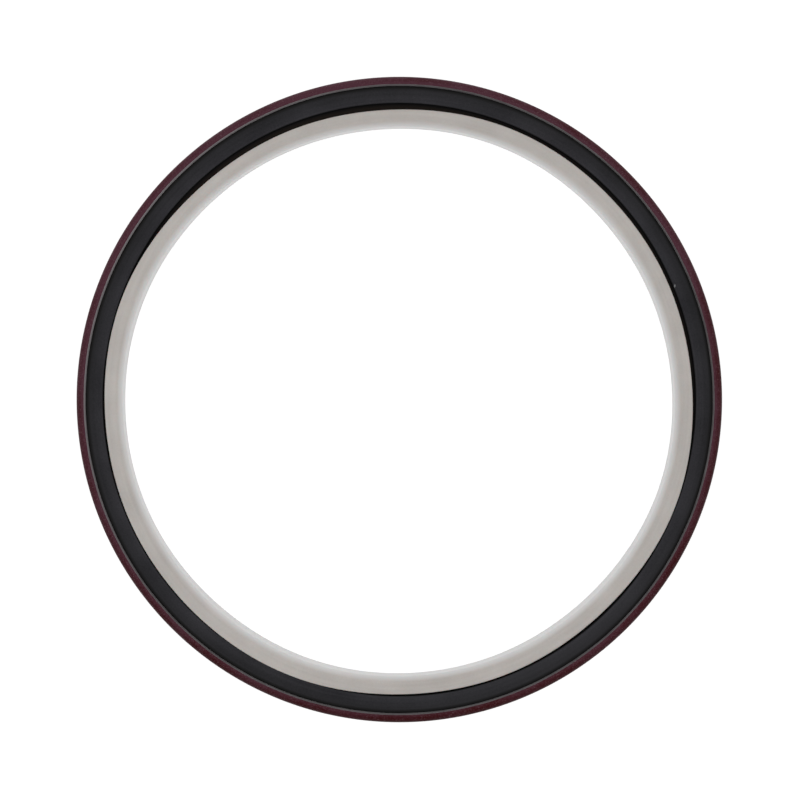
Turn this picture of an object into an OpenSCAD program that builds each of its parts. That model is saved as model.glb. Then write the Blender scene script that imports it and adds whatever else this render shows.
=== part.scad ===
/* [Shaft, section and width] */
// Diameter of the crankshaft journal that the lip runs on
shaft_d = 130; // [60:1:200]
// Radial height of the seal, from the journal to the housing bore
section_h = 10; // [8.5:0.25:15]
// Width of the seal along the shaft
seal_w = 13; // [12:0.5:20]

/* [Outer case] */
// Thickness of the outer case's steel sheet
outer_t = 1; // [0.8:0.05:1.2]
// Inside radius of the bend between the heel and the wall
heel_bend = 0.5; // [0.3:0.05:0.6]
// Radial width of the heel, from the housing bore to its own bore
heel_w = 5.5; // [4.5:0.1:6]
// How much smaller in radius the leading end is than the housing bore
lead_in = 0.5; // [0.3:0.05:0.6]
// Length of the leading end, from the heel to where the wall is straight
lead_len = 4.5; // [3:0.1:5.5]
// Inside radius where the leading end runs into the straight wall
lead_bend = 4; // [1:0.5:6]
// Angle through which the crimped edge is bent inwards
crimp_angle = 60; // [55:1:65]
// Inside radius of the crimp's bend
crimp_bend = 0.8; // [0.6:0.05:1]
// Straight length of the crimped edge, past its bend
crimp_len = 0.9; // [0.7:0.05:1.1]

/* [Inner case] */
// Thickness of the inner case's steel sheet
inner_t = 1; // [0.8:0.05:1.2]
// Inside radius of the bend between the face and the wall
inner_bend = 1; // [0.8:0.05:1.2]
// Radial room between the journal and the bore of the face
face_gap = 3.85; // [3.4:0.05:4.3]
// How far above the leading end the inner case's wall stops
skirt_rise = 0.5; // [0.2:0.1:1.5]

/* [Clamp ring] */
// Thickness of the clamp ring's steel sheet
clamp_t = 1; // [0.8:0.05:1.2]
// Inside radius of the clamp ring's bend
clamp_bend = 0.5; // [0.3:0.05:0.8]
// Radial width of the clamp ring's flange, from its wall's outside to its bore
clamp_w = 3.3; // [2.8:0.1:3.5]

/* [Gasket and lip] */
// Thickness of the rubber gasket
gasket_t = 0.6; // [0.4:0.05:0.8]
// Thickness of the sealing lip
lip_t = 0.9; // [0.7:0.05:1.1]
// Inside radius of the bend that lays the lip down
lip_bend = 1.6; // [1.2:0.1:2]
// Length of the lip that lies along the sleeve
lip_land = 3.8; // [2.5:0.1:4.5]

/* [Installation sleeve] */
// Wall thickness of the sleeve
sleeve_t = 1.1; // [0.8:0.05:1.3]
// How much larger in radius the sleeve is than the journal
sleeve_over = 0.2; // [0.1:0.05:0.4]
// Radius of the fillet under the sleeve's flange
sleeve_bend = 0.6; // [0.4:0.05:0.8]
// Radial depth of the chamfer inside the end that meets the crankshaft
pilot_depth = 0.6; // [0.3:0.05:0.7]
// Height of that chamfer
pilot_height = 1.5; // [0.8:0.1:2.5]

/* [Clearances] */
// Radial clearance between the walls that are nested
nest_gap = 0.05; // [0.03:0.01:0.1]
// Clearance between the crimped edge and the bend that it holds
crimp_gap = 0.05; // [0.03:0.01:0.1]
// Radial clearance between the lip and the sleeve
land_gap = 0.05; // [0.03:0.01:0.1]
// Radial play of the sleeve's flange in the bore of the face
flange_play = 0.6; // [0.3:0.05:0.8]

/* [Edges and smoothness] */
// Width of the small chamfer on each cut edge
edge_break = 0.12; // [0.05:0.01:0.15]
// Degrees of bend for each flat of a rounded section
bend_step = 6; // [3:1:10]
// Facets around the ring in a preview
$fn = 240; // [60:20:360]

/* [Hidden] */
shaft_r = shaft_d / 2;
housing_r = shaft_r + section_h;

// Leading end: a taper that starts above the heel's bend
heel_round = heel_bend + outer_t;
lead_angle = atan(lead_in / (lead_len - heel_round));

// Crimped edge: it runs from the wall's corner to a tip whose broken edge is level with the seal's width
crimp_round = crimp_bend + outer_t;
crimp_reach = crimp_round * tan(crimp_angle / 2) + crimp_len;
crimp_way = [-sin(crimp_angle), cos(crimp_angle)];
crimp_out = [cos(crimp_angle), sin(crimp_angle)];
crimp_tip = [housing_r - crimp_reach * sin(crimp_angle), seal_w + edge_break * cos(crimp_angle)];
crimp_corner = crimp_tip - crimp_reach * crimp_way;

// Inner case: the underside of the crimp touches its rounded corner and so sets the height of its face
inner_wall_r = housing_r - outer_t - nest_gap;
inner_round = inner_bend + inner_t;
crimp_under = crimp_out * crimp_tip - outer_t - crimp_gap;
inner_round_z = (crimp_under - inner_round - crimp_out[0] * (inner_wall_r - inner_round)) / crimp_out[1];
face_z = inner_round_z + inner_round;
face_bore_r = shaft_r + face_gap;

// Stack that the crimp squeezes, from the inner case's flange down to the heel
lip_z = face_z - inner_t;
gasket_z = lip_z - lip_t;
clamp_z = gasket_z - gasket_t;
stack_r = inner_wall_r - inner_round - nest_gap;
clamp_wall_r = inner_wall_r - inner_t - nest_gap;
clamp_bore_r = clamp_wall_r - clamp_w;

// Sleeve: its flange hangs on the lip
sleeve_r = shaft_r + sleeve_over;
flange_r = face_bore_r - flange_play;
flange_z = lip_z + sleeve_t;
lip_r = sleeve_r + land_gap;

// Direction a quarter turn to the left of another
function left_of(way) = [-way[1], way[0]];
// Direction from one point to the next
function way_to(a, b) = (b - a) / norm(b - a);
// Angle of a left turn from one direction to another
function turn_between(a, b) = acos(min(1, max(-1, a * b)));

// One side of a bent sheet: it follows the path's corners as arcs, set over to the left by aside
function side_of(path, bends, t, aside) =
    [for (i = [1 : len(path) - 2])
        let (
            way_in = way_to(path[i - 1], path[i]),
            way_out = way_to(path[i], path[i + 1]),
            turn = turn_between(way_in, way_out),
            outside = bends[i - 1] + t,
            centre = path[i] - way_in * outside * tan(turn / 2) + left_of(way_in) * outside,
            steps = max(1, ceil(turn / bend_step))
        )
        for (k = [0 : steps])
            let (a = turn * k / steps)
            centre + (outside - aside) * (way_in * sin(a) - left_of(way_in) * cos(a))
    ];

// Section of a sheet of thickness t whose right side follows path, with its four cut corners broken
function sheet_section(path, bends, t) =
    let (
        last = len(path) - 1,
        first_way = way_to(path[0], path[1]),
        last_way = way_to(path[last - 1], path[last]),
        across_first = left_of(first_way),
        across_last = left_of(last_way),
        right = side_of(path, bends, t, 0),
        left = side_of(path, bends, t, t)
    )
    concat(
        [path[0] + first_way * edge_break],
        right,
        [path[last] - last_way * edge_break],
        [path[last] + across_last * edge_break],
        [path[last] + across_last * (t - edge_break)],
        [path[last] + across_last * t - last_way * edge_break],
        [for (i = [len(left) - 1 : -1 : 0]) left[i]],
        [path[0] + across_first * t + first_way * edge_break],
        [path[0] + across_first * (t - edge_break)],
        [path[0] + across_first * edge_break]
    );

// Ring turned from the section of a bent sheet
module pressed_ring(path, bends, t) {
    rotate_extrude() polygon(sheet_section(path, bends, t));
}

// Steel cup: heel, tapered leading end, wall and crimped edge
module outer_case() {
    lead_r = housing_r - lead_len * tan(lead_angle);
    color([0.27, 0.13, 0.15])
        pressed_ring(
            [
                [housing_r - heel_w, 0],
                [lead_r, 0],
                [housing_r, lead_len],
                crimp_corner,
                crimp_tip
            ],
            [heel_bend, lead_bend, crimp_bend],
            outer_t
        );
}

// Black ring whose flat face shows, with a short wall nested in the outer case
module inner_case() {
    color([0.17, 0.17, 0.18])
        pressed_ring(
            [
                [inner_wall_r, lead_len + skirt_rise],
                [inner_wall_r, face_z],
                [face_bore_r, face_z]
            ],
            [inner_bend],
            inner_t
        );
}

// Ring that stands on the heel and carries the gasket and the lip
module clamp_ring() {
    color([0.35, 0.35, 0.36])
        pressed_ring(
            [
                [clamp_wall_r, outer_t],
                [clamp_wall_r, clamp_z],
                [clamp_bore_r, clamp_z]
            ],
            [clamp_bend],
            clamp_t
        );
}

// Flat rubber ring under the lip's clamped rim
module gasket() {
    color([0.1, 0.1, 0.1])
        translate([0, 0, clamp_z])
            difference() {
                cylinder(r = stack_r, h = gasket_t);
                translate([0, 0, -gasket_t])
                    cylinder(r = clamp_bore_r, h = 3 * gasket_t);
            }
}

// Lip clamped flat at its rim and laid down along the sleeve
module sealing_lip() {
    color([0.13, 0.1, 0.08])
        pressed_ring(
            [
                [stack_r, lip_z],
                [lip_r, lip_z],
                [lip_r, gasket_z - lip_bend - lip_land]
            ],
            [lip_bend],
            lip_t
        );
}

// Pale plastic ring: a flange on the lip, and a wall through it that ends in a pilot chamfer
module installation_sleeve() {
    bore_r = sleeve_r - sleeve_t;
    color([0.86, 0.84, 0.82])
        difference() {
            pressed_ring(
                [
                    [flange_r, flange_z],
                    [bore_r, flange_z],
                    [bore_r, 0]
                ],
                [sleeve_bend],
                sleeve_t
            );
            translate([0, 0, -pilot_height])
                cylinder(r1 = bore_r + 2 * pilot_depth, r2 = bore_r, h = 2 * pilot_height);
        }
}

outer_case();
inner_case();
clamp_ring();
gasket();
sealing_lip();
installation_sleeve();
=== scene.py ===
# %% [markdown]
# # A crankshaft seal, dressed for its portrait
#
# The seal is a stack of thin rings: two pressed steel cases, a clamp ring, a gasket, a dark lip, and a pale
# plastic sleeve that holds the lip open until the seal is fitted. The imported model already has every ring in
# its place. This notebook loads it, swaps the rings whose shape needs more than a turned solid for finer
# ones, gives each ring its finish, and sets up the table, the light and the camera.

import bpy
import numpy as np
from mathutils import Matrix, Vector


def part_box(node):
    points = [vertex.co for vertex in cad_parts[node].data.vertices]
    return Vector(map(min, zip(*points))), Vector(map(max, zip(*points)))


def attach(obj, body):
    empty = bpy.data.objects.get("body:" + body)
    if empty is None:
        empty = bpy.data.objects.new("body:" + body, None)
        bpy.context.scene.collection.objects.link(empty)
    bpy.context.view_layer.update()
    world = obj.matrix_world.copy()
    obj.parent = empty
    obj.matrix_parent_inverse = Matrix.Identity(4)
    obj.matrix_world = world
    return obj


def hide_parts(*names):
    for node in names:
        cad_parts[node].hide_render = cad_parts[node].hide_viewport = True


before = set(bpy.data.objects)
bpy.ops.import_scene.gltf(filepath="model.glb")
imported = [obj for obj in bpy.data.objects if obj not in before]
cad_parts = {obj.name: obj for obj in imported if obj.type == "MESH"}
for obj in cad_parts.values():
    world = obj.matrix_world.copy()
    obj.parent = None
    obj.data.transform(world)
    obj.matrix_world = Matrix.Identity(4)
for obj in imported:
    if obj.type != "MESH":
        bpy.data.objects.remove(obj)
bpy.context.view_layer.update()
print("rings:", ", ".join(sorted(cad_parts)))

# %% [markdown]
# ## Main sizes
#
# A pressed ring is described by its section, so a handful of radii and heights says everything. They could
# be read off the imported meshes, but a mesh has no bend radii, so the section's values are repeated in
# millimetres, here and where they are first needed. The outside radius and the height do come from the
# packed box, and the rest hangs on them.

# %% Main radii and heights
MM = 0.001
CASE_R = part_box("outer_case")[1].x / MM
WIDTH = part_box("outer_case")[1].z / MM
JOURNAL_R = CASE_R - 10
FACE_BORE_R = JOURNAL_R + 3.85
SLEEVE_R = JOURNAL_R + 0.2
LIP_TOP = WIDTH - 1.6705
print(f"outside radius {CASE_R:.2f} mm, width {WIDTH:.2f} mm, lip's top at {LIP_TOP:.2f} mm")

# %% [markdown]
# ## Corners into arcs
#
# Every ring here is a strip of constant thickness with rounded bends. One could draw each section by hand,
# but then the thickness would drift at the bends. Instead a path of corners is followed: each corner becomes
# an arc, and the second face is the same line set over by the thickness. The outer case comes first. Its
# path runs out along the heel, up the tapered leading end and the wall, and in along the crimped edge.

# %% One face of a bent sheet
BEND_STEP = 4.0


def unit(v):
    """The vector divided by its own length."""
    return v / np.linalg.norm(v)


def left(v):
    """The vector turned a quarter turn to the left: (x, y) becomes (-y, x)."""
    return np.array([-v[1], v[0]])


def bent_side(path, bends, thickness, aside):
    """One face of a bent sheet, set over to the left of the path by aside.

    A corner that turns by the angle T becomes an arc whose centre lies at the corner, back by R tan(T/2)
    along the way in and R to the left, where R is the inside bend radius plus the thickness. A point of the
    arc is the centre plus (R - aside) times (way in * sin a - left * cos a), for a from 0 to T.
    """
    pieces = []
    for before, corner, after, bend in zip(path[:-2], path[1:-1], path[2:], bends):
        way_in, way_out = unit(corner - before), unit(after - corner)
        turn = np.arccos(np.clip(way_in @ way_out, -1, 1))
        outside = bend + thickness
        centre = corner - way_in * outside * np.tan(turn / 2) + left(way_in) * outside
        steps = max(1, int(np.ceil(np.degrees(turn) / BEND_STEP)))
        a = np.linspace(0, turn, steps + 1)[:, None]
        pieces.append(centre + (outside - aside) * (way_in * np.sin(a) - left(way_in) * np.cos(a)))
    return np.vstack(pieces)


HEEL_W = 5.5
TAPER_IN, TAPER_H = 0.75, 4.5
CRIMP_ANGLE = np.radians(60)
CRIMP_REACH, CRIMP_RISE = 2.0193, 0.10
CASE_SHEET = 1.0
HEEL_BEND, TAPER_BEND, CRIMP_BEND = 0.5, 4.0, 0.8
crimp_way = np.array([-np.sin(CRIMP_ANGLE), np.cos(CRIMP_ANGLE)])
crimp_tip = np.array([CASE_R + CRIMP_REACH * crimp_way[0], WIDTH + CRIMP_RISE])
crimp_corner = crimp_tip - CRIMP_REACH * crimp_way
heel = [(CASE_R - HEEL_W, 0), (CASE_R - TAPER_IN, 0)]
case_path = np.array([*heel, (CASE_R, TAPER_H), crimp_corner, crimp_tip])
case_bends = (HEEL_BEND, TAPER_BEND, CRIMP_BEND)
case_outside = bent_side(case_path, case_bends, CASE_SHEET, 0)
print(f"the outside of the case's section has {len(case_outside)} points at its bends")

# %% [markdown]
# ## Rounded edges
#
# Pressed and moulded edges are never knife sharp. A bevel modifier could round them, but it would round the
# bends too. The two ends of the sheet are closed with small quarter rounds instead, which catch a thin
# highlight. Each line of the section also gets the number of its face, because the case wears a different
# finish on each.

# %% Section of a bent sheet
ROUND_POINTS = 5


def quarter(centre, start, end):
    """A quarter circle: centre + start * cos(a) + end * sin(a), as a goes from 0 to a right angle."""
    a = np.linspace(0, np.pi / 2, ROUND_POINTS)[:, None]
    return centre + start * np.cos(a) + end * np.sin(a)


def rounded_end(corner, way, across, thickness, radius):
    """The end of a sheet, from the corner on one face to the other face, with both of its corners rounded.

    way points out of the sheet, and across points to the other face. Both quarter circles have their centre
    radius back from the end. The first lies radius across from the corner, the second thickness - radius.
    """
    back, over, out = corner - way * radius, across * radius, way * radius
    first_round = quarter(back + over, -over, out)
    second_round = quarter(back + across * (thickness - radius), out, over)
    return np.vstack([first_round, second_round])


def bent_sheet(path, bends, thickness, start_round=0.12, end_round=0.12):
    """Closed section of a bent sheet, and for each of its points the face that the line after it belongs to.

    The section runs anticlockwise: the right-hand face follows the path, then come the rounded far end, the
    left-hand face backwards, and the rounded near end. The faces are 0 for the right-hand face and the far
    end's first round, 1 for the rest of the far end, 2 for the left-hand face and 3 for the near end.
    """
    first, last = unit(path[1] - path[0]), unit(path[-1] - path[-2])
    right = bent_side(path, bends, thickness, 0)
    other = bent_side(path, bends, thickness, thickness)[::-1]
    far = rounded_end(path[-1], last, left(last), thickness, end_round)
    near = rounded_end(path[0] + left(first) * thickness, -first, -left(first), thickness, start_round)
    counts = [len(right) + ROUND_POINTS - 1, ROUND_POINTS, len(other) + 1, len(near) - 1, 1]
    return np.vstack([right, far, other, near]), np.repeat([0, 1, 2, 3, 0], counts)


case_section, case_faces = bent_sheet(case_path, case_bends, CASE_SHEET)
print(f"the case's whole section has {len(case_section)} points")

# %% [markdown]
# ## Carrying a section round the axis
#
# A ring could be made with a screw modifier, but a ring that is not quite round needs every one of its
# points to move by its own amount. So the whole ring is worked out at once as a grid of points: one way
# along the section, the other way round the axis. Long straight runs are first cut into short ones, so that
# a wave can bend them.

# %% Grid of a ring
LONGEST_SIDE = 0.6
TURNS = 480


def finer(section, faces):
    """The closed section with its long sides cut up, so that no side is longer than LONGEST_SIDE.

    A point a share f of the way along a side is (1 - f) times the side's start plus f times its end.
    """
    ahead = np.roll(section, -1, axis=0)
    counts = np.maximum(1, np.ceil(np.linalg.norm(ahead - section, axis=1) / LONGEST_SIDE)).astype(int)
    side = np.repeat(np.arange(len(section)), counts)
    share = (np.arange(len(side)) - np.repeat(np.cumsum(counts) - counts, counts)) / counts[side]
    return section[side] * (1 - share[:, None]) + ahead[side] * share[:, None], faces[side]


def grid_faces(rows):
    """The four-cornered faces of a grid that closes both ways, as numbers of points.

    Point (i, j) has the number i * TURNS + j. A face joins the points (i, j), (i, j + 1), (i + 1, j + 1) and
    (i + 1, j), and after the last row or column comes the first.
    """
    i, j = np.meshgrid(np.arange(rows), np.arange(TURNS), indexing="ij")
    i_next, j_next = (i + 1) % rows * TURNS, (j + 1) % TURNS
    i = i * TURNS
    return np.stack([i + j, i + j_next, i_next + j_next, i_next + j], axis=-1).reshape(-1, 4)


print(f"cut up for a ring, the case's section has {len(finer(case_section, case_faces)[0])} points")

# %% [markdown]
# ## From points to a mesh
#
# A mesh could be built point by point, but whole arrays go in at once, which is quick and needs no loop. The
# grid joins its last row and column to its first, so the ring has no seam. Faces that point inwards can look
# dark or vanish in a viewer, and a list of numbers doesn't show them, so each ring's volume is printed: it is
# above 0 only where the faces point outwards.

# %% Ring from a section
SHARP = np.radians(50)


def turned_ring(name, section, faces, moved, **shares):
    """A ring from a closed section in millimetres.

    Point (i, j) of the grid has the radius r and height z of section point i, and t is j / TURNS of a whole
    turn: x = r cos t, y = r sin t. Before that, moved(r, z, t) gives every point its new r and z. Each
    further named function of r and z, before the move, is kept as an attribute of that name for the finish
    to read. The volume is the sum over the faces a, b, c, d of a . (c x (d - b)) / 6. An anticlockwise
    section makes it come out above 0.
    """
    section, faces = finer(section, faces)
    r, t = np.meshgrid(section[:, 0], np.linspace(0, 2 * np.pi, TURNS, endpoint=False), indexing="ij")
    z = np.repeat(section[:, 1:2], TURNS, axis=1)
    shares = {share: rule(r, z).ravel().astype(np.float32) for share, rule in shares.items()}
    r, z = moved(r, z, t)
    points = np.stack([r * np.cos(t), r * np.sin(t), z], axis=-1).reshape(-1, 3)
    quads = grid_faces(len(section))
    mesh = bpy.data.meshes.new(name)
    mesh.from_pydata(points * MM, [], quads)
    mesh.polygons.foreach_set("use_smooth", np.ones(len(quads), bool))
    mesh.polygons.foreach_set("material_index", np.repeat(faces, TURNS).astype(np.int32))
    for share, values in shares.items():
        mesh.attributes.new(share, "FLOAT", "POINT").data.foreach_set("value", values)
    mesh.set_sharp_from_angle(angle=SHARP)
    mesh.update()
    ring = bpy.data.objects.new(name, mesh)
    bpy.context.scene.collection.objects.link(ring)
    a, b, c, d = (points[quads[:, k]] for k in range(4))
    volume = (a * np.cross(c, d - b)).sum() / 6
    print(f"{name}: {2 * len(quads)} triangles, {volume:.0f} cubic millimetres")
    return ring


print(f"edges that turn by more than {np.degrees(SHARP):.0f} degrees stay sharp")

# %% [markdown]
# ## Node materials in few words
#
# A finish is a tree of nodes. Wiring it by hand takes three lines for each node: make it, set it, link it.
# One helper does all three, so that a recipe reads as a list of steps. Numbers that are the same all over
# the ring don't need a node, and go on the shader itself.


# %% A new finish and a new node
def new_finish(name, **sockets):
    """A new material with its shader's own sockets set: returns the material, its tree and the shader."""
    material = bpy.data.materials.new(name)
    material.use_nodes = True
    tree = material.node_tree
    shader = tree.nodes["Principled BSDF"]
    for socket, value in sockets.items():
        shader.inputs[socket.replace("_", " ")].default_value = value
    return material, tree, shader


def add(tree, kind, inputs=None, out=0, **settings):
    """Adds a node, makes its settings, connects or fills its inputs, and returns the chosen output."""
    made = tree.nodes.new(kind)
    for key, value in settings.items():
        setattr(made, key, value)
    for key, value in (inputs or {}).items():
        if isinstance(value, bpy.types.NodeSocket):
            tree.links.new(value, made.inputs[key])
        else:
            made.inputs[key].default_value = value
    return made.outputs[out]


def maths(tree, operation, a, b):
    """One arithmetic step on two numbers."""
    return add(tree, "ShaderNodeMath", {0: a, 1: b}, operation=operation)


print("nodes are made by Blender", bpy.app.version_string)

# %% [markdown]
# ## Patterns that stay on the ring
#
# All the patterns are worked out from the point's own place on the object, in metres, so they stay put when
# the camera moves. An unwrapped surface with a painted picture would do too, but it would have a seam, and a
# noise has none. Tools and rollers leave marks that run round a ring, so one pattern is drawn out along its
# circles.


# %% Places and noises
def place(tree):
    """The point's place on the object, in metres."""
    return add(tree, "ShaderNodeTexCoord", out="Object")


def from_axis(tree, spot):
    """The point's distance from the seal's axis: the length of (x, y, 0)."""
    flat = add(tree, "ShaderNodeVectorMath", {0: spot, 1: (1, 1, 0)}, operation="MULTIPLY")
    return add(tree, "ShaderNodeVectorMath", {0: flat}, out="Value", operation="LENGTH")


def above_table(tree, spot):
    """The point's height."""
    return add(tree, "ShaderNodeSeparateXYZ", {0: spot}, out="Z")


def towards(tree, spot, way):
    """How far the point lies from the axis in the direction way: x times its x plus y times its y."""
    return add(tree, "ShaderNodeVectorMath", {0: spot, 1: way}, out="Value", operation="DOT_PRODUCT")


def grain(tree, spot, size_mm, detail=3.0, roughness=0.55):
    """Noise between 0 and 1 whose largest grains are about size_mm across."""
    return add(tree, "ShaderNodeTexNoise", {
        "Vector": spot, "Scale": 1 / (size_mm * MM), "Detail": detail, "Roughness": roughness,
    })


def streaks(tree, spot, across_mm, along_mm):
    """Noise that changes every across_mm over the section and every along_mm round the ring.

    It is read at x and y over along_mm, and at the radius plus the height over across_mm.
    """
    level = maths(tree, "ADD", from_axis(tree, spot), above_table(tree, spot))
    up = add(tree, "ShaderNodeCombineXYZ", {"Z": maths(tree, "MULTIPLY", level, 1 / across_mm)})
    shrink = (1 / along_mm, 1 / along_mm, 0)
    flat = add(tree, "ShaderNodeVectorMath", {0: spot, 1: shrink}, operation="MULTIPLY")
    drawn = add(tree, "ShaderNodeVectorMath", {0: flat, 1: up}, operation="ADD")
    return add(tree, "ShaderNodeTexNoise", {"Vector": drawn, "Scale": 1 / MM, "Detail": 2.0})


print(f"a grain of 1 mm is a noise of scale {1 / MM:.0f}")

# %% [markdown]
# ## Mixing, and the gasket's rubber
#
# A few more helpers turn a noise or a distance into a share between 0 and 1, and a share into a colour or a
# roughness. The simplest finish shows them at work. The gasket is moulded rubber, matt and nearly black. A
# single black would do, since it is hidden inside, but anyone who takes the seal apart should find rubber
# there.


# %% Sums, ramps and blends
def mixed(tree, *parts):
    """The sum of every value times its own weight."""
    total = 0.0
    for value, weight in parts:
        total = maths(tree, "ADD", total, maths(tree, "MULTIPLY", value, weight))
    return total


def ramp(tree, value, start, end):
    """0 up to start, 1 from end, and an even slope between them."""
    return add(tree, "ShaderNodeMapRange", {"Value": value, "From Min": start, "From Max": end})


def ramp_mm(tree, value, start, end):
    """A ramp over a distance in metres, between two places given in millimetres."""
    return ramp(tree, value, start * MM, end * MM)


def slope(tree, share, low, high):
    """low where share is 0, high where it is 1, and evenly between."""
    return add(tree, "ShaderNodeMapRange", {"Value": share, "To Min": low, "To Max": high})


def blend(tree, share, low, high, most=1.0):
    """The colour low where share is 0, changing evenly towards high, and by the part most of the way at 1."""
    share = maths(tree, "MULTIPLY", share, most)
    low, high = ((*colour, 1) if isinstance(colour, tuple) else colour for colour in (low, high))
    return add(tree, "ShaderNodeMix", {0: share, 6: low, 7: high}, out=2, data_type="RGBA")


def connect(tree, shader, colour, rough, bump, depth_mm):
    """Joins colour, roughness and a bump of the given depth to the shader."""
    normal = add(tree, "ShaderNodeBump", {"Height": bump, "Distance": depth_mm * MM, "Strength": 1.0})
    tree.links.new(colour, shader.inputs["Base Color"])
    tree.links.new(rough, shader.inputs["Roughness"])
    tree.links.new(normal, shader.inputs["Normal"])


RUBBER, RUBBER_PALE = (0.010, 0.010, 0.010), (0.020, 0.020, 0.020)


def moulded_rubber(name):
    """Matt black rubber with a fine grain."""
    material, tree, shader = new_finish(name, Specular_IOR_Level=0.3)
    fine = grain(tree, place(tree), size_mm=0.3, detail=4.0, roughness=0.65)
    colour = blend(tree, ramp(tree, fine, 0.3, 0.7), RUBBER, RUBBER_PALE)
    rough = slope(tree, fine, 0.8, 0.65)
    connect(tree, shader, colour, rough, fine, depth_mm=0.02)
    return material


gasket_finish = moulded_rubber("matt_gasket_rubber")
print(gasket_finish.name, "has", len(gasket_finish.node_tree.nodes), "nodes")

# %% [markdown]
# ## Black coated steel
#
# The pressed steel is given a thin black phosphate coat before assembly. It is matt and slightly grainy, and
# the sheet's rolling and the press tool leave very faint circles in it. A plain black would look like a
# hole, so the grey varies a little, in a fine grain and in soft patches.

# %% Finish of the black steel
BLACK, BLACK_PALE = (0.0088, 0.0084, 0.0117), (0.0326, 0.0312, 0.0373)


def black_steel(name, marks=None):
    """Matt black coat with a fine grain, soft patches and faint circles. marks may add painted light, painted
    shade and a nick to its colour.
    """
    material, tree, shader = new_finish(name, Specular_IOR_Level=0.25)
    spot = place(tree)
    fine = grain(tree, spot, size_mm=0.35, detail=4.0, roughness=0.65)
    patches = grain(tree, spot, size_mm=14.0, detail=2.0)
    circles = streaks(tree, spot, across_mm=0.5, along_mm=40.0)
    shade = mixed(tree, (fine, 0.4), (patches, 0.4), (circles, 0.2))
    colour = blend(tree, ramp(tree, shade, 0.37, 0.63), BLACK, BLACK_PALE)
    if marks:
        colour = marks(tree, spot, colour)
    rough = slope(tree, shade, 0.62, 0.5)
    connect(tree, shader, colour, rough, fine, depth_mm=0.012)
    return material


inside_finish = black_steel("black_coat_inside")
print(inside_finish.name, "has", len(inside_finish.node_tree.nodes), "nodes")

# %% [markdown]
# ## Painted light and shade, and a nick, on the air side's face
#
# The one face that is seen gets painted shade that darkens it towards the crimp's raised rim, painted shade
# that makes it nearly black in the groove beside the crimp and over the broken edge of its bore, and painted
# light that makes it paler on one side. One nick shows dull metal. These could be painted on a picture, but
# each is a place or a radius, so a ramp on it is enough.

# %% Finish of the air side's face
# Colours and places of the painted shade and the painted light on the face.
PAINTED_SHADE_BLACK = (0.0015, 0.0014, 0.0014)
RIM_SHADE_FROM, RIM_SHADE_TO, RIM_SHADE_MOST = CASE_R - 6.3, CASE_R - 3.3, 0.45
CREVICE_SHADE_FROM, CREVICE_SHADE_TO = CASE_R - 3.2, CASE_R - 2.7
BORE_SHADE_WIDTH = 0.16
SIDE_LIGHT, SIDE_LIGHT_WAY, SIDE_LIGHT_MOST = (0.055, 0.054, 0.060), (0.5, -0.866, 0), 0.22
SIDE_LIGHT_FROM, SIDE_LIGHT_TO = 0.77 * CASE_R, 0.93 * CASE_R
NICK, NICK_AT = (0.17, 0.17, 0.175), (63.92 * MM, 26.38 * MM, 12.33 * MM)
NICK_SQUEEZE, NICK_RAGGED, NICK_IN, NICK_OUT = (1.0, 0.5, 1.0), 0.6, 0.42, 0.50


def nick(tree, spot):
    """0 on a ragged spot about a quarter of a millimetre wide and half a millimetre long, and 1 off it.

    The distance is measured with y halved, so the spot is twice as long that way, and a fine noise is added.
    """
    squeezed = add(tree, "ShaderNodeVectorMath", {0: spot, 1: NICK_SQUEEZE}, operation="MULTIPLY")
    middle = tuple(np.multiply(NICK_AT, NICK_SQUEEZE))
    away = add(tree, "ShaderNodeVectorMath", {0: squeezed, 1: middle}, out="Value", operation="DISTANCE")
    ragged = mixed(tree, (away, 1.0), (grain(tree, spot, size_mm=0.2), NICK_RAGGED * MM))
    return ramp_mm(tree, ragged, NICK_IN, NICK_OUT)


def face_light_shade_and_nick(tree, spot, colour):
    """Painted light on one side, painted shade at the crimp, in the groove and at the bore's edge, and a nick.
    """
    radius = from_axis(tree, spot)
    # Painted light: the face is made paler on one side.
    side_lit = ramp_mm(tree, towards(tree, spot, SIDE_LIGHT_WAY), SIDE_LIGHT_FROM, SIDE_LIGHT_TO)
    colour = blend(tree, side_lit, colour, SIDE_LIGHT, SIDE_LIGHT_MOST)
    # Painted shade: the face darkens towards the crimp's raised rim.
    colour = blend(tree, ramp_mm(tree, radius, RIM_SHADE_FROM, RIM_SHADE_TO), colour, PAINTED_SHADE_BLACK, RIM_SHADE_MOST)
    # Painted shade: nearly black in the groove beside the crimp.
    colour = blend(tree, ramp_mm(tree, radius, CREVICE_SHADE_FROM, CREVICE_SHADE_TO), colour, PAINTED_SHADE_BLACK)
    # Painted shade: nearly black over the bore's broken edge.
    colour = blend(tree, ramp_mm(tree, radius, FACE_BORE_R, FACE_BORE_R + BORE_SHADE_WIDTH), PAINTED_SHADE_BLACK, colour)
    return blend(tree, nick(tree, spot), NICK, colour)


face_finish = black_steel("black_coat_face", face_light_shade_and_nick)
print(face_finish.name, "has", len(face_finish.node_tree.nodes), "nodes")

# %% [markdown]
# ## Maroon sealant coat
#
# The outside of the case carries a spray-on sealant that seals it in its housing bore. It dries to a maroon
# skin with a fine pale speckle and a soft orange-peel surface. It could be a second skin in the mesh, but it
# is only a few hundredths of a millimetre thick, so it is a finish. Its tone changes at random between thin
# and greyer and thick and deep red. Painted light makes it paler on one side and on the crimp, and painted
# shade makes it deep red on the far side at the crimp's bend.
# It gives out at the heel's bend, where a share that grows with the height lets the black steel through.

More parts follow.
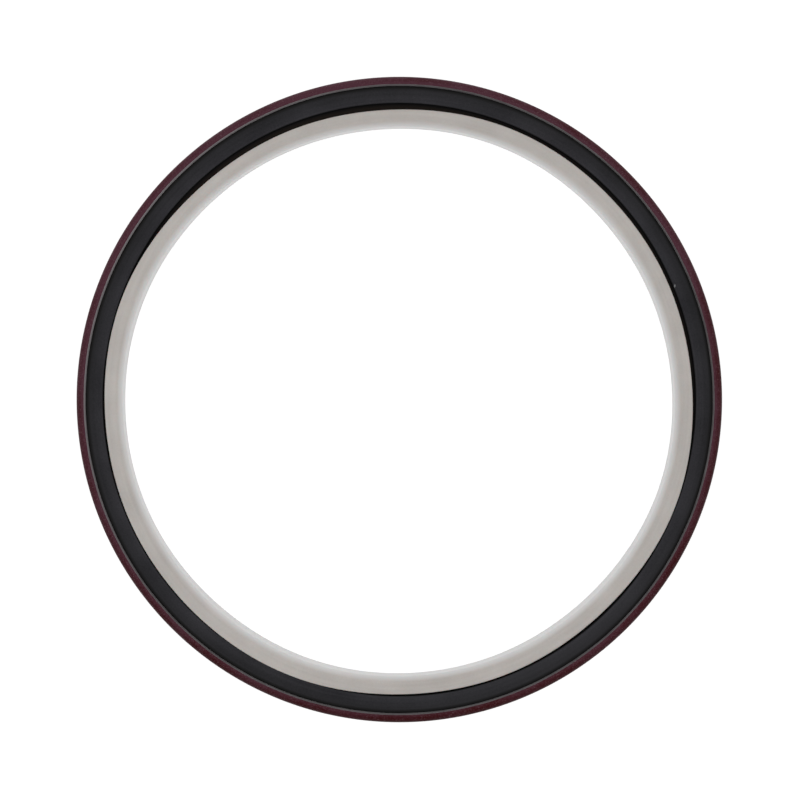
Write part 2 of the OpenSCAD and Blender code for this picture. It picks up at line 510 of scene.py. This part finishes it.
# %% Finish of the coat
# Ends of the coat's tone: random thickness and painted light both move it between them.
THICK_AND_SHADED_COAT, THIN_AND_LIT_COAT = (0.0405, 0.0018, 0.0034), (0.0725, 0.0240, 0.0358)
BEND_SHADE_COAT, BEND_SHADE_MOST = (0.018, 0.0, 0.001), 0.55
SPECKLE, SPECKLE_MOST = (0.150, 0.085, 0.095), 0.75
COAT_LIGHT_FROM = (-0.26, 0.966, 0)
NOISE_WEIGHT, CRIMP_LIGHT_WEIGHT = 5.6, 0.75
PALE_FROM, PALE_TO = 2.585, 4.015
CRIMP_FLAT, CRIMP_ROUND = CASE_R - 1.7, CASE_R - 0.95
BEND_IN, BEND_OUT = CASE_R - 1.1, CASE_R - 0.5
BEND_LOW, BEND_HIGH = WIDTH - 1.7, WIDTH - 1.1
WORN_RAGGED, WORN_TO, COATED_FROM = 1.4, 1.1, 1.5


def sealant(name):
    """Maroon sealant: thicker or thinner by patch, speckled, worn at the heel, with painted light on one side
    and on the crimp, and painted shade on the far side's bend.

    The share towards the pale end adds up the noise times its weight, the painted light's share on the lit
    side, and the painted light's share on the crimp times its weight.
    """
    material, tree, shader = new_finish(name, Specular_IOR_Level=0.06)
    spot = place(tree)
    radius, height = from_axis(tree, spot), above_table(tree, spot)
    fine = grain(tree, spot, size_mm=0.55, detail=4.0, roughness=0.7)
    patches = grain(tree, spot, size_mm=9.0, detail=2.0)
    drawn = streaks(tree, spot, across_mm=1.1, along_mm=22.0)
    noise = mixed(tree, (fine, 0.45), (patches, 0.3), (drawn, 0.25))
    # Painted light: the coat is paler on one side of the ring and deeper red on the other.
    coat_lit_share = ramp_mm(tree, towards(tree, spot, COAT_LIGHT_FROM), -CASE_R, CASE_R)
    # Painted light: the coat is paler over the crimp, near its cut edge.
    crimped = ramp_mm(tree, radius, CRIMP_ROUND, CRIMP_FLAT)
    thin_and_lit = mixed(tree, (noise, NOISE_WEIGHT), (coat_lit_share, 1.0), (crimped, CRIMP_LIGHT_WEIGHT))
    colour = blend(tree, ramp(tree, thin_and_lit, PALE_FROM, PALE_TO), THICK_AND_SHADED_COAT, THIN_AND_LIT_COAT)
    # Painted shade: deep red on the crimp's bend on the far side.
    outer = ramp_mm(tree, radius, BEND_IN, BEND_OUT)
    upper = ramp_mm(tree, height, BEND_LOW, BEND_HIGH)
    bend_shade_share = maths(tree, "MULTIPLY", maths(tree, "MULTIPLY", outer, upper), slope(tree, coat_lit_share, 1, 0))
    colour = blend(tree, bend_shade_share, colour, BEND_SHADE_COAT, BEND_SHADE_MOST)
    dots = ramp(tree, grain(tree, spot, size_mm=0.22, detail=2.0, roughness=0.5), 0.59, 0.69)
    colour = blend(tree, dots, colour, SPECKLE, SPECKLE_MOST)
    edge_noise = grain(tree, spot, size_mm=2.5, detail=4.0)
    ragged_height = mixed(tree, (height, 1.0), (edge_noise, WORN_RAGGED * MM))
    colour = blend(tree, ramp_mm(tree, ragged_height, WORN_TO, COATED_FROM), BLACK, colour)
    peel = mixed(tree, (grain(tree, spot, size_mm=1.6, detail=2.0), 1.0), (fine, 0.5))
    rough = slope(tree, fine, 0.62, 0.42)
    connect(tree, shader, colour, rough, peel, depth_mm=0.03)
    return material


coat_finish = sealant("maroon_sealant_coat")
print(coat_finish.name, "has", len(coat_finish.node_tree.nodes), "nodes")

# %% [markdown]
# ## Bare cut edge
#
# Where the sheet was cut, at the tip of the crimp and at the heel's bore, there is no coat. In the picture
# it is the thin light line beside the black face. The steel is dull and was sheared, so its marks run round
# the edge, and painted light makes it brighter on one side. A second material on the narrow end face gives
# the line its true width at any distance, which a ring of paler paint in the coat's own recipe would not.

# %% Finish of the cut edge
CUT, CUT_PALE = (0.125, 0.110, 0.115), (0.255, 0.240, 0.245)
EDGE_LIGHT, EDGE_LIGHT_WAY, EDGE_LIGHT_MOST = (0.42, 0.39, 0.40), (-0.906, 0.423, 0), 0.75
EDGE_LIGHT_FROM, EDGE_LIGHT_TO = 0.4 * CASE_R, CASE_R


def cut_steel(name):
    """Bare sheared steel: dull grey with fine marks that run round the edge, and painted light towards one
    side.
    """
    material, tree, shader = new_finish(name, Metallic=0.75)
    spot = place(tree)
    sheared = streaks(tree, spot, across_mm=0.12, along_mm=6.0)
    stain = grain(tree, spot, size_mm=5.0, detail=3.0)
    shade = mixed(tree, (sheared, 0.6), (stain, 0.4))
    colour = blend(tree, ramp(tree, shade, 0.3, 0.7), CUT, CUT_PALE)
    # Painted light: the edge is brighter towards one side.
    edge_lit = ramp_mm(tree, towards(tree, spot, EDGE_LIGHT_WAY), EDGE_LIGHT_FROM, EDGE_LIGHT_TO)
    colour = blend(tree, edge_lit, colour, EDGE_LIGHT, EDGE_LIGHT_MOST)
    rough = slope(tree, sheared, 0.6, 0.42)
    connect(tree, shader, colour, rough, sheared, depth_mm=0.01)
    return material


edge_finish = cut_steel("bare_cut_edge")
print(edge_finish.name, "has", len(edge_finish.node_tree.nodes), "nodes")

# %% [markdown]
# ## The outer case
#
# The case is the pressed cup that everything else sits in. Its crimp was rolled over the inner case by a
# tool in segments, so its edge is not a perfect circle: it swings by a few hundredths of a millimetre, and
# it reaches a tenth further in on one side than on the other. Noise in the finish could hint at that, but
# the cut edge is a line that the eye follows, so the mesh itself moves. The outside gets the coat, the two
# cut ends bare steel, and the inside the black coat.

# %% Outer case
BEND_END = (CRIMP_BEND + CASE_SHEET) * np.tan(CRIMP_ANGLE / 2)
REACH_MORE, REACH_LEAN, SEGMENT_SWING = 0.04, 0.07, 0.01


def crimp_marks(r, z, t):
    """The crimp's cut edge, moved along the crimped sheet by the tool's segments.

    The share of the move grows evenly along the sheet, from 0 at the end of its bend to 1 at the cut edge.
    The move onwards is REACH_MORE plus REACH_LEAN times cos t, less SEGMENT_SWING times the sum of cos 9t,
    cos(23t + 1) and cos(41t + 2.4).
    """
    along = (r - crimp_corner[0]) * crimp_way[0] + (z - crimp_corner[1]) * crimp_way[1]
    share = np.clip((along - BEND_END) / (CRIMP_REACH - BEND_END), 0, 1)
    segments = SEGMENT_SWING * (np.cos(9 * t) + np.cos(23 * t + 1) + np.cos(41 * t + 2.4))
    onwards = (REACH_MORE + REACH_LEAN * np.cos(t) - segments) * share
    return r + crimp_way[0] * onwards, z + crimp_way[1] * onwards


def dress(ring, node_name, materials):
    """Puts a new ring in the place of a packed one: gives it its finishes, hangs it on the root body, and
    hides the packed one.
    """
    for material in materials:
        ring.data.materials.append(material)
    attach(ring, "root")
    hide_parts(node_name)


rolled_case = turned_ring("rolled_case", case_section, case_faces, crimp_marks)
dress(rolled_case, "outer_case", [coat_finish, edge_finish, inside_finish, edge_finish])

# %% [markdown]
# ## How far the sleeve is out of round
#
# The sleeve is a thin loose hoop of plastic. It has slipped to one side in the black bore, and it is a
# little oval, with a slight four-cornered wave, as a soft hoop is after it has been squeezed in a box. One
# could push points about by hand, but a closed wave is a sum of cosines round the ring: one term for the
# slip, one for the oval, and so on. The waves differ a little between the flange's rim, the bend and the
# foot, and the shape between them is mixed evenly.

# %% Waves of the sleeve
# Each row is a number of lobes, a height in mm and a phase in degrees. Lobes under 0.05 mm are left out.
RIM_WAVE = [(1, 0.56, 101), (2, 0.22, -30), (3, 0.06, -176), (4, 0.21, 93), (6, 0.05, 92), (8, 0.12, 172)]
BEND_WAVE = [(1, 0.47, 110), (2, 0.17, 2), (4, 0.14, 103), (8, 0.05, 165)]
FOOT_WAVE = [(0, -0.15, 0), (1, 0.30, 124), (2, 0.16, 4), (4, 0.12, 45), (5, 0.09, 64), (8, 0.05, 161)]
FLANGE_R = JOURNAL_R + 3.20


def wave(rows, t):
    """The sum over the rows of height * cos(lobes * t + phase)."""
    lobes, high, phase = (np.array(column, float)[:, None, None] for column in zip(*rows))
    return (high * np.cos(lobes * t[None] + np.radians(phase))).sum(axis=0)


def sleeve_wave(r, z, t):
    """How far the sleeve's wall or flange is pushed out at each point.

    The rim's share grows evenly with the radius, from 0 at the wall to 1 at the flange's rim. The foot's
    share grows evenly downwards, from 0 under the flange to 1 at the table. The bend has the rest.
    """
    rim = np.clip((r - SLEEVE_R) / (FLANGE_R - SLEEVE_R), 0, 1)
    foot = np.clip((LIP_TOP - z) / LIP_TOP, 0, 1)
    return rim * wave(RIM_WAVE, t) + foot * wave(FOOT_WAVE, t) + (1 - rim - foot) * wave(BEND_WAVE, t)


rim_r = FLANGE_R + wave(RIM_WAVE, np.linspace(0, 2 * np.pi, 360)[None])
print(f"the flange's rim is at {rim_r.min():.2f} to {rim_r.max():.2f} mm, the bore at {FACE_BORE_R:.2f}")

# %% [markdown]
# ## Pale plastic
#
# The sleeve is moulded in a soft off-white plastic, about a millimetre thick, so a little light gets into
# it. Its flange faces the camera and looks a warm grey. Its inner wall is seen at a grazing angle, where any
# smooth surface mirrors what lies beyond it, here the white table, and light also comes through the thin
# wall, so it looks paler and cooler. Letting real light through would be slow and noisy, so that light is
# painted on: the wall is given a paler colour, by a share that the mesh carries. A slight cloudiness and a
# fine moulded grain keep the sleeve from looking like paper.

# %% Finish of the sleeve
PLASTIC, PLASTIC_PALE = (0.450, 0.419, 0.394), (0.580, 0.546, 0.516)
LIT_WALL = (0.635, 0.627, 0.621)


def pale_plastic(name):
    """Off-white moulded plastic with a faint cloud and a fine grain, and painted light where towards_wall is
    1.
    """
    material, tree, shader = new_finish(
        name, Specular_IOR_Level=0.5, Subsurface_Weight=0.12, Subsurface_Scale=0.001
    )
    spot = place(tree)
    fine = grain(tree, spot, size_mm=0.5, detail=3.0)
    cloud = grain(tree, spot, size_mm=9.0, detail=3.0)
    drawn = streaks(tree, spot, across_mm=0.8, along_mm=25.0)
    shade = mixed(tree, (cloud, 0.5), (fine, 0.2), (drawn, 0.3))
    colour = blend(tree, ramp(tree, shade, 0.3, 0.7), PLASTIC, PLASTIC_PALE)
    walls = add(tree, "ShaderNodeAttribute", out="Fac", attribute_name="towards_wall")
    # Painted light: the inner wall is made paler and cooler.
    colour = blend(tree, walls, colour, LIT_WALL)
    rough = slope(tree, fine, 0.34, 0.44)
    connect(tree, shader, colour, rough, fine, depth_mm=0.006)
    return material


sleeve_finish = pale_plastic("pale_moulded_plastic")
print(sleeve_finish.name, "has", len(sleeve_finish.node_tree.nodes), "nodes")

# %% [markdown]
# ## The sleeve
#
# The sleeve is a thin wall with a flange that hangs on the lip. Its foot is chamfered inside, so that it
# finds the end of the crankshaft. A lathe would cut that chamfer from a straight wall, and the same happens
# here: the section is a plain bent strip, and the function that moves its points also thins the foot from
# inside.

# %% Sleeve
SLEEVE_T, SLEEVE_BEND = 1.1, 0.6
RIM_ROUND, FOOT_ROUND = 0.3, 0.05
PILOT_DEPTH, PILOT_HEIGHT = 0.6, 1.5
WALL_FROM, WALL_TO = JOURNAL_R + 0.3, JOURNAL_R - 0.6


def push_sleeve(r, z, t):
    """The whole sleeve moves by the wave, and its foot is thinned from inside into a pilot chamfer.

    The chamfer grows evenly from 0 at PILOT_HEIGHT above the table to PILOT_DEPTH at the table, times the
    share of the wall's thickness that lies outside the point.
    """
    outer_share = np.clip((SLEEVE_R - r) / SLEEVE_T, 0, 1)
    pilot = PILOT_DEPTH * np.clip(1 - z / PILOT_HEIGHT, 0, 1) * outer_share
    return r + sleeve_wave(r, z, t) + pilot, z


def towards_wall(r, z):
    """0 from WALL_FROM outwards, 1 from WALL_TO inwards, and even between, which is the rounded bend."""
    return np.clip((WALL_FROM - r) / (WALL_FROM - WALL_TO), 0, 1)


sleeve_bore_r = SLEEVE_R - SLEEVE_T
flange_top = LIP_TOP + SLEEVE_T
sleeve_path = np.array([(FLANGE_R, flange_top), (sleeve_bore_r, flange_top), (sleeve_bore_r, 0)])
sleeve_section, sleeve_faces = bent_sheet(sleeve_path, [SLEEVE_BEND], SLEEVE_T, RIM_ROUND, FOOT_ROUND)
held_sleeve = turned_ring(
    "held_sleeve", sleeve_section, sleeve_faces * 0, push_sleeve, towards_wall=towards_wall
)
dress(held_sleeve, "installation_sleeve", [sleeve_finish])

# %% [markdown]
# ## Filled fluoropolymer
#
# The lip is skived from a turned billet, which leaves very fine circles and a waxy brown-black surface. A
# single dark brown would serve from afar, but the circles are what tells this plastic from rubber. Under the
# edge of the black face the lip gets painted shade, nearly black, and the brown shows only beside the sleeve.

# %% Finish of the lip
LIP_BROWN, LIP_PALE = (0.0130, 0.0095, 0.0070), (0.0200, 0.0150, 0.0118)
LIP_SHADE, LIP_SHADE_FROM, LIP_SHADE_TO = (0.0030, 0.0030, 0.0038), FACE_BORE_R - 0.95, FACE_BORE_R - 0.1


def skived_lip(name):
    """Waxy brown-black plastic with fine skived circles, and painted shade under the black face's bore."""
    material, tree, shader = new_finish(name, Specular_IOR_Level=0.06)
    spot = place(tree)
    circles = streaks(tree, spot, across_mm=0.18, along_mm=60.0)
    fine = grain(tree, spot, size_mm=0.3, detail=3.0)
    shade = mixed(tree, (circles, 0.6), (fine, 0.4))
    colour = blend(tree, ramp(tree, shade, 0.3, 0.7), LIP_BROWN, LIP_PALE)
    # Painted shade: nearly black under the edge of the black face.
    lip_shaded = ramp_mm(tree, from_axis(tree, spot), LIP_SHADE_FROM, LIP_SHADE_TO)
    colour = blend(tree, lip_shaded, colour, LIP_SHADE)
    rough = slope(tree, fine, 0.55, 0.42)
    connect(tree, shader, colour, rough, circles, depth_mm=0.012)
    return material


lip_finish = skived_lip("skived_lip")
print(lip_finish.name, "has", len(lip_finish.node_tree.nodes), "nodes")

# %% [markdown]
# ## The lip
#
# The lip is a flat washer, clamped at its rim and laid down along the sleeve. Only a sliver of it shows
# between the black face and the sleeve, but from below the whole length can be seen. A cloth simulation
# could drape it, but the sleeve already says where it must lie: it grips the sleeve, so it follows the same
# wave, and that fades out towards the clamped rim.

# %% Lip
LIP_RIM_R = CASE_R - 3.1
LIP_R = JOURNAL_R + 0.25
LIP_T, LIP_BEND, LIP_HANG = 0.9, 1.6, 5.4
WAVE_WHOLE, WAVE_GONE = JOURNAL_R + 2, JOURNAL_R + 6


def push_lip(r, z, t):
    """The lip follows the sleeve's wall, and less and less of the wave is left towards its clamped rim.

    The share that is left is 3s^2 - 2s^3, where s falls evenly from 1 at WAVE_WHOLE to 0 at WAVE_GONE.
    """
    s = np.clip((WAVE_GONE - r) / (WAVE_GONE - WAVE_WHOLE), 0, 1)
    return r + s * s * (3 - 2 * s) * sleeve_wave(np.full_like(r, SLEEVE_R), z, t), z


lip_path = np.array([(LIP_RIM_R, LIP_TOP), (LIP_R, LIP_TOP), (LIP_R, LIP_TOP - LIP_T - LIP_HANG)])
lip_section, lip_faces = bent_sheet(lip_path, [LIP_BEND], LIP_T)
laid_lip = turned_ring("laid_lip", lip_section, lip_faces * 0, push_lip)
dress(laid_lip, "sealing_lip", [lip_finish])

# %% [markdown]
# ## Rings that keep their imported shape
#
# The inner case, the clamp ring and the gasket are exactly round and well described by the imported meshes.
# New ones would only repeat them, so those stay, and only their finish is new.

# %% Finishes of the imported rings
kept_rings = {"inner_case": face_finish, "clamp_ring": inside_finish, "gasket": gasket_finish}
for node_name, finish in kept_rings.items():
    for material_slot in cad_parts[node_name].material_slots:
        material_slot.material = finish
    print(node_name, "wears", finish.name)

# %% [markdown]
# ## Table
#
# The seal lies on a white table. On a plain diffuse table the white would depend on the lamps, so what the
# camera and mirror-like rays see is mostly a steady white glow, plus a share of ordinary white paint that
# still takes the seal's shadow. Every other ray meets ordinary white paint, which throws light back under
# the rings.

# %% Table
TABLE_HALF, TABLE_GAP = 4.0, 0.0002
GLOW, SHADOW_WHITE, PAINT_WHITE = 0.86, (0.35, 0.35, 0.35, 1), (0.8, 0.8, 0.8, 1)


def table_paint(name):
    """White that glows for the camera and for mirrors, and is plain paint for all other light."""
    material = bpy.data.materials.new(name)
    material.use_nodes = True
    tree = material.node_tree
    tree.nodes.clear()
    ray = tree.nodes.new("ShaderNodeLightPath")
    seen = maths(tree, "MAXIMUM", ray.outputs["Is Camera Ray"], ray.outputs["Is Glossy Ray"])
    seen = maths(tree, "MAXIMUM", seen, ray.outputs["Is Transmission Ray"])
    glow = add(tree, "ShaderNodeEmission", {"Color": (1, 1, 1, 1), "Strength": GLOW})
    shadowed = add(tree, "ShaderNodeBsdfDiffuse", {"Color": SHADOW_WHITE})
    plain = add(tree, "ShaderNodeBsdfDiffuse", {"Color": PAINT_WHITE})
    shown = add(tree, "ShaderNodeAddShader", {0: glow, 1: shadowed})
    either = add(tree, "ShaderNodeMixShader", {0: seen, 1: plain, 2: shown})
    output = tree.nodes.new("ShaderNodeOutputMaterial")
    tree.links.new(either, output.inputs["Surface"])
    return material


table_mesh = bpy.data.meshes.new("table")
table_corners = [(x * TABLE_HALF, y * TABLE_HALF, 0) for x, y in ((-1, -1), (1, -1), (1, 1), (-1, 1))]
table_mesh.from_pydata(table_corners, [], [(0, 1, 2, 3)])
table_mesh.materials.append(table_paint("white_table"))
table = bpy.data.objects.new("table", table_mesh)
table.location.z = -TABLE_GAP
bpy.context.scene.collection.objects.link(table)
print(f"the table is {2 * TABLE_HALF:.0f} m wide and lies {TABLE_GAP / MM:.1f} mm under the seal")

# %% [markdown]
# ## Light
#
# Small parts are lit from all round for a catalogue picture: bright walls, a darker ceiling where the camera
# hangs, and one weak soft lamp. A ring of lamps could do the same, but it would leave a row of reflections
# in the rims, so the sky itself is the light: a slope from a bright horizon to a grey overhead. The lamp
# stands off towards the top of the picture, a little to the left, and gives the rims a side.

# %% Sky and lamp
HORIZON, OVERHEAD = 1.236, 0.598
KEY_AT, KEY_SIZE, KEY_WATTS = (-0.32, 0.80, 0.52), 0.5, 0.3

world = bpy.data.worlds.new("studio")
bpy.context.scene.world = world
world.use_nodes = True
sky = world.node_tree
sky.nodes.clear()
steepness = add(sky, "ShaderNodeSeparateXYZ", {0: add(sky, "ShaderNodeTexCoord", out="Generated")}, out="Z")
level = slope(sky, steepness, HORIZON, OVERHEAD)
background = add(sky, "ShaderNodeBackground", {"Color": (1, 1, 1, 1), "Strength": level})
world_output = sky.nodes.new("ShaderNodeOutputWorld")
sky.links.new(background, world_output.inputs["Surface"])


def soft_lamp(name, spot, size, watts):
    """A square area lamp at spot, turned to face the seal.

    It is tipped by its angle from straight up, and then swung round by its compass angle plus a quarter turn.
    """
    data = bpy.data.lights.new(name, "AREA")
    data.size = size
    data.energy = watts
    lamp = bpy.data.objects.new(name, data)
    bpy.context.scene.collection.objects.link(lamp)
    away = unit(np.array(spot))
    lamp.location = spot
    lamp.rotation_euler = (np.arccos(away[2]), 0, np.arctan2(away[1], away[0]) + np.pi / 2)
    print(f"{name}: {watts} W at {np.linalg.norm(spot):.2f} m")


soft_lamp("key", KEY_AT, KEY_SIZE, KEY_WATTS)

# %% [markdown]
# ## Camera
#
# The photograph looks straight down the seal's axis. How much of the sleeve's inner wall shows tells how far
# the lens was: about a metre. An orthographic camera would hide that wall altogether. The lens is chosen so
# that the whole picture is 186 mm wide at the height where the case is widest, and a slight offset puts the
# seal where the photograph has it.

# %% Camera
DISTANCE = 0.95
WIDEST_Z = 11.05 * MM
PICTURE_PIXELS, CASE_PIXELS = 800, 322.78
OFFSET_PIXELS = (0.66, -0.45)
SENSOR = 36

pixel = CASE_R * MM / CASE_PIXELS
camera_data = bpy.data.cameras.new("camera")
camera_data.sensor_width = SENSOR
camera_data.lens = SENSOR * DISTANCE / (PICTURE_PIXELS * pixel)
camera = bpy.data.objects.new("camera", camera_data)
camera.location = (OFFSET_PIXELS[0] * pixel, OFFSET_PIXELS[1] * pixel, WIDEST_Z + DISTANCE)
bpy.context.scene.collection.objects.link(camera)
bpy.context.scene.camera = camera
bpy.context.scene.view_settings.view_transform = "Standard"
print(f"lens {camera_data.lens:.1f} mm, picture {PICTURE_PIXELS * pixel / MM:.0f} mm wide")
